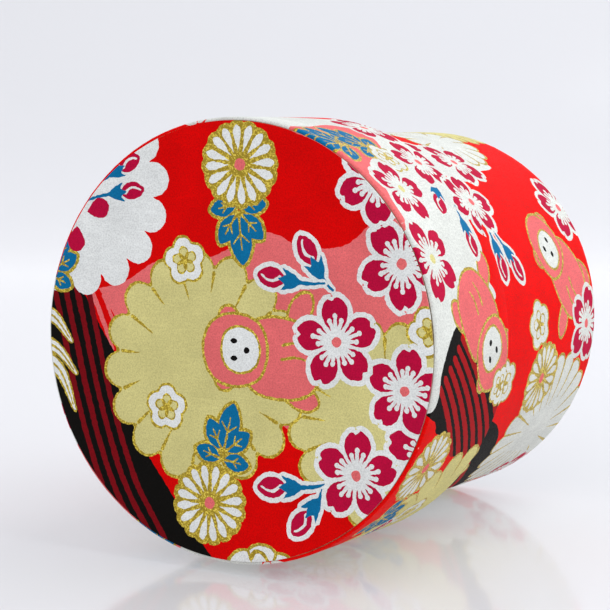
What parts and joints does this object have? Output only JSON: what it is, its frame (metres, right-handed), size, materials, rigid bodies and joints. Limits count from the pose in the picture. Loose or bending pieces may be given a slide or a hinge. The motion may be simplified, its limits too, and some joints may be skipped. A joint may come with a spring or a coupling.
{
  "type": "tea caddy",
  "caption": "Short round lidded canister for loose tea: patterned paper over pasteboard, with a tin liner, a knobbed inner lid and a cap that slides over the body.",
  "frame": {"origin": "on the axis of the caddy, in the plane that the base stands on", "axes": "+Z along the caddy's axis, from the base towards the lid; the caddy is round, so +X and +Y are free"},
  "size_m": [0.08, 0.08, 0.082],
  "materials": {
    "washi": "matt screen-printed paper with gilding",
    "washi_disc": "matt screen-printed paper with gilding",
    "base_paper": "matt",
    "lining_paper": "matt",
    "board": "matt grey-brown pasteboard",
    "tinplate": "bright tinplate",
    "tinplate_lid": "bright pressed tinplate",
    "knob_brass": "turned and lacquered",
    "washer_steel": "plain"
  },
  "bodies": {
    "caddy_body": {"body_tube": "board", "body_base_board": "board", "body_base_paper": "base_paper", "body_wrap_paper": "washi", "liner_wall": "tinplate", "liner_floor": "tinplate"},
    "inner_lid": {"inner_lid_dish": "tinplate_lid", "inner_lid_knob": "knob_brass", "knob_washer": "washer_steel", "knob_rivet": "washer_steel"},
    "outer_lid": {"lid_tube": "board", "lid_top_board": "board", "lid_side_lining": "lining_paper", "lid_top_lining": "lining_paper", "lid_wrap_paper": "washi", "lid_top_paper": "washi_disc"}
  },
  "joints": [
    {"name": "inner_lid_lift", "type": "slide", "parent": "caddy_body", "child": "inner_lid", "axis": [0, 0, 1], "range_m": [0, 0.03]},
    {"name": "outer_lid_lift", "type": "slide", "parent": "inner_lid", "child": "outer_lid", "axis": [0, 0, 1], "range_m": [0, 0.06]}
  ]
}
